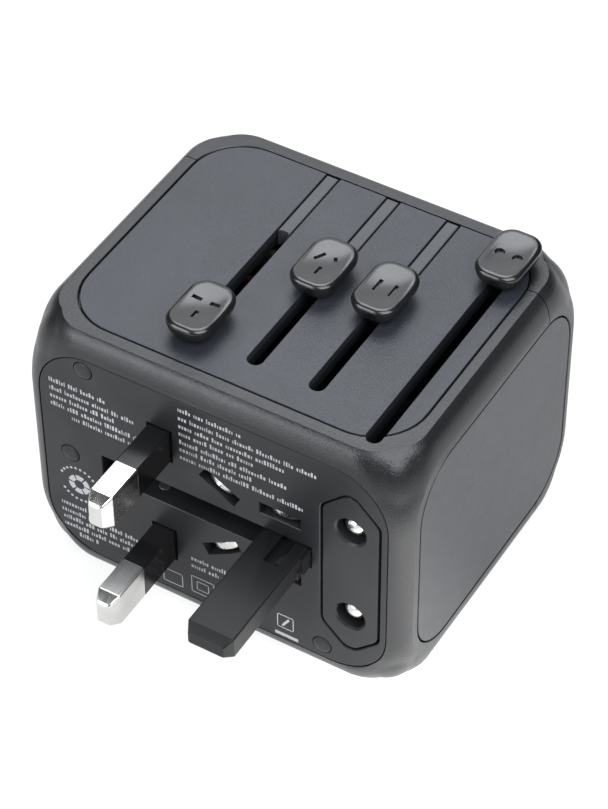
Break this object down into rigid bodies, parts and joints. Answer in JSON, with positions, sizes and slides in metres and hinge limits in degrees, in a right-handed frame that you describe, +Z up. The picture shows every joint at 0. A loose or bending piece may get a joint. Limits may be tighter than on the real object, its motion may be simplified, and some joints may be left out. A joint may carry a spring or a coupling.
{
  "type": "universal travel adapter",
  "caption": "Block-shaped universal travel adapter: top sliders push country pins out of the plug face, with a folding earth pin, a universal socket behind and USB ports on one side.",
  "frame": {"origin": "centre of the base, the flat face opposite the sliders", "axes": "+Z up to the slider panel, -Y out of the plug face, +Y out of the socket face, +X towards the EU pins"},
  "size_m": [0.068, 0.0791, 0.055],
  "materials": {
    "shell_plastic": "fine spark-textured black moulding",
    "panel_plastic": "fine-grained blue-grey panel",
    "face_plastic": "smooth dark grey moulding",
    "knob_plastic": "satin dark grey",
    "black_plastic": "satin black",
    "sleeve_plastic": "semi-gloss black",
    "plated_pin": "bright nickel plate",
    "natural_plastic": "natural moulded plastic",
    "contact_brass": "stamped strip",
    "steel": "plated steel",
    "port_white": "white moulding",
    "board_green": "solder mask",
    "ferrite": "dull grey ferrite",
    "winding_tape": "yellow tape",
    "capacitor_sleeve": "printed sleeve",
    "live_wire": "brown insulation",
    "neutral_wire": "blue insulation"
  },
  "bodies": {
    "housing": {"front_shell": "shell_plastic", "rear_shell": "shell_plastic", "slider_panel": "panel_plastic", "base_panel": "panel_plastic", "left_side_panel": "panel_plastic", "right_side_panel": "panel_plastic", "plug_face_plate": "face_plastic", "socket_face": "face_plastic", "screw_plugs": "face_plastic", "earth_pin_bay": "black_plastic", "eu_inner_rail": "black_plastic", "eu_outer_rail": "black_plastic", "auto_reset_breaker": "black_plastic", "usb_c_tongue": "black_plastic", "charge_control_chip": "black_plastic", "power_switch_chip": "black_plastic", "rectifier_chip": "black_plastic", "contact_carrier": "natural_plastic", "shutter_frame": "natural_plastic", "live_contact_strip": "contact_brass", "neutral_contact_strip": "contact_brass", "live_socket_contact": "contact_brass", "neutral_socket_contact": "contact_brass", "housing_screws": "steel", "earth_hinge_pin": "steel", "shutter_spring": "steel", "usb_a_shell": "steel", "usb_c_shell": "steel", "usb_a_tongue": "port_white", "usb_circuit_board": "board_green", "transformer_core": "ferrite", "choke": "ferrite", "transformer_winding": "winding_tape", "input_capacitor": "capacitor_sleeve", "output_capacitors": "capacitor_sleeve", "live_lead": "live_wire", "neutral_lead": "neutral_wire"},
    "uk_slider": {"uk_knob": "knob_plastic", "uk_carriage": "black_plastic", "uk_live_pin": "plated_pin", "uk_neutral_pin": "plated_pin", "uk_live_sleeve": "sleeve_plastic", "uk_neutral_sleeve": "sleeve_plastic"},
    "aus_slider": {"aus_knob": "knob_plastic", "aus_carriage": "black_plastic", "aus_live_blade": "plated_pin", "aus_neutral_blade": "plated_pin"},
    "us_slider": {"us_knob": "knob_plastic", "us_carriage": "black_plastic", "us_live_blade": "plated_pin", "us_neutral_blade": "plated_pin"},
    "eu_slider": {"eu_knob": "knob_plastic", "eu_carriage": "black_plastic", "eu_live_pin": "plated_pin", "eu_neutral_pin": "plated_pin"},
    "eu_block": {"eu_pin_block": "face_plastic"},
    "folding_earth_pin": {"earth_pin": "black_plastic"},
    "shutter": {"socket_shutter": "natural_plastic"}
  },
  "joints": [
    {"name": "uk_slide", "type": "slide", "parent": "housing", "child": "uk_slider", "axis": [0, 1, 0], "range_m": [0, 0.0178]},
    {"name": "aus_slide", "type": "slide", "parent": "housing", "child": "aus_slider", "axis": [0, -1, 0], "range_m": [0, 0.0178]},
    {"name": "us_slide", "type": "slide", "parent": "housing", "child": "us_slider", "axis": [0, -1, 0], "range_m": [0, 0.0178]},
    {"name": "eu_slide", "type": "slide", "parent": "housing", "child": "eu_slider", "axis": [0, -1, 0], "range_m": [0, 0.0396]},
    {"name": "eu_block_slide", "type": "slide", "parent": "housing", "child": "eu_block", "axis": [0, -1, 0], "range_m": [0, 0.018]},
    {"name": "earth_pin_fold", "type": "hinge", "parent": "housing", "child": "folding_earth_pin", "pos_m": [0.01327, -0.02395, 0.0255], "axis": [0, 0, 1], "range_deg": [-90, 0]},
    {"name": "shutter_slide", "type": "slide", "parent": "housing", "child": "shutter", "axis": [1, 0, 0], "range_m": [0, 0.0084], "stiffness_N_per_m": 60, "springref_m": -0.002, "deforming": ["shutter_spring"]}
  ],
  "couplings": [
    {"joint": "eu_block_slide", "follows": "eu_slide", "ratio": 0.45454}
  ]
}
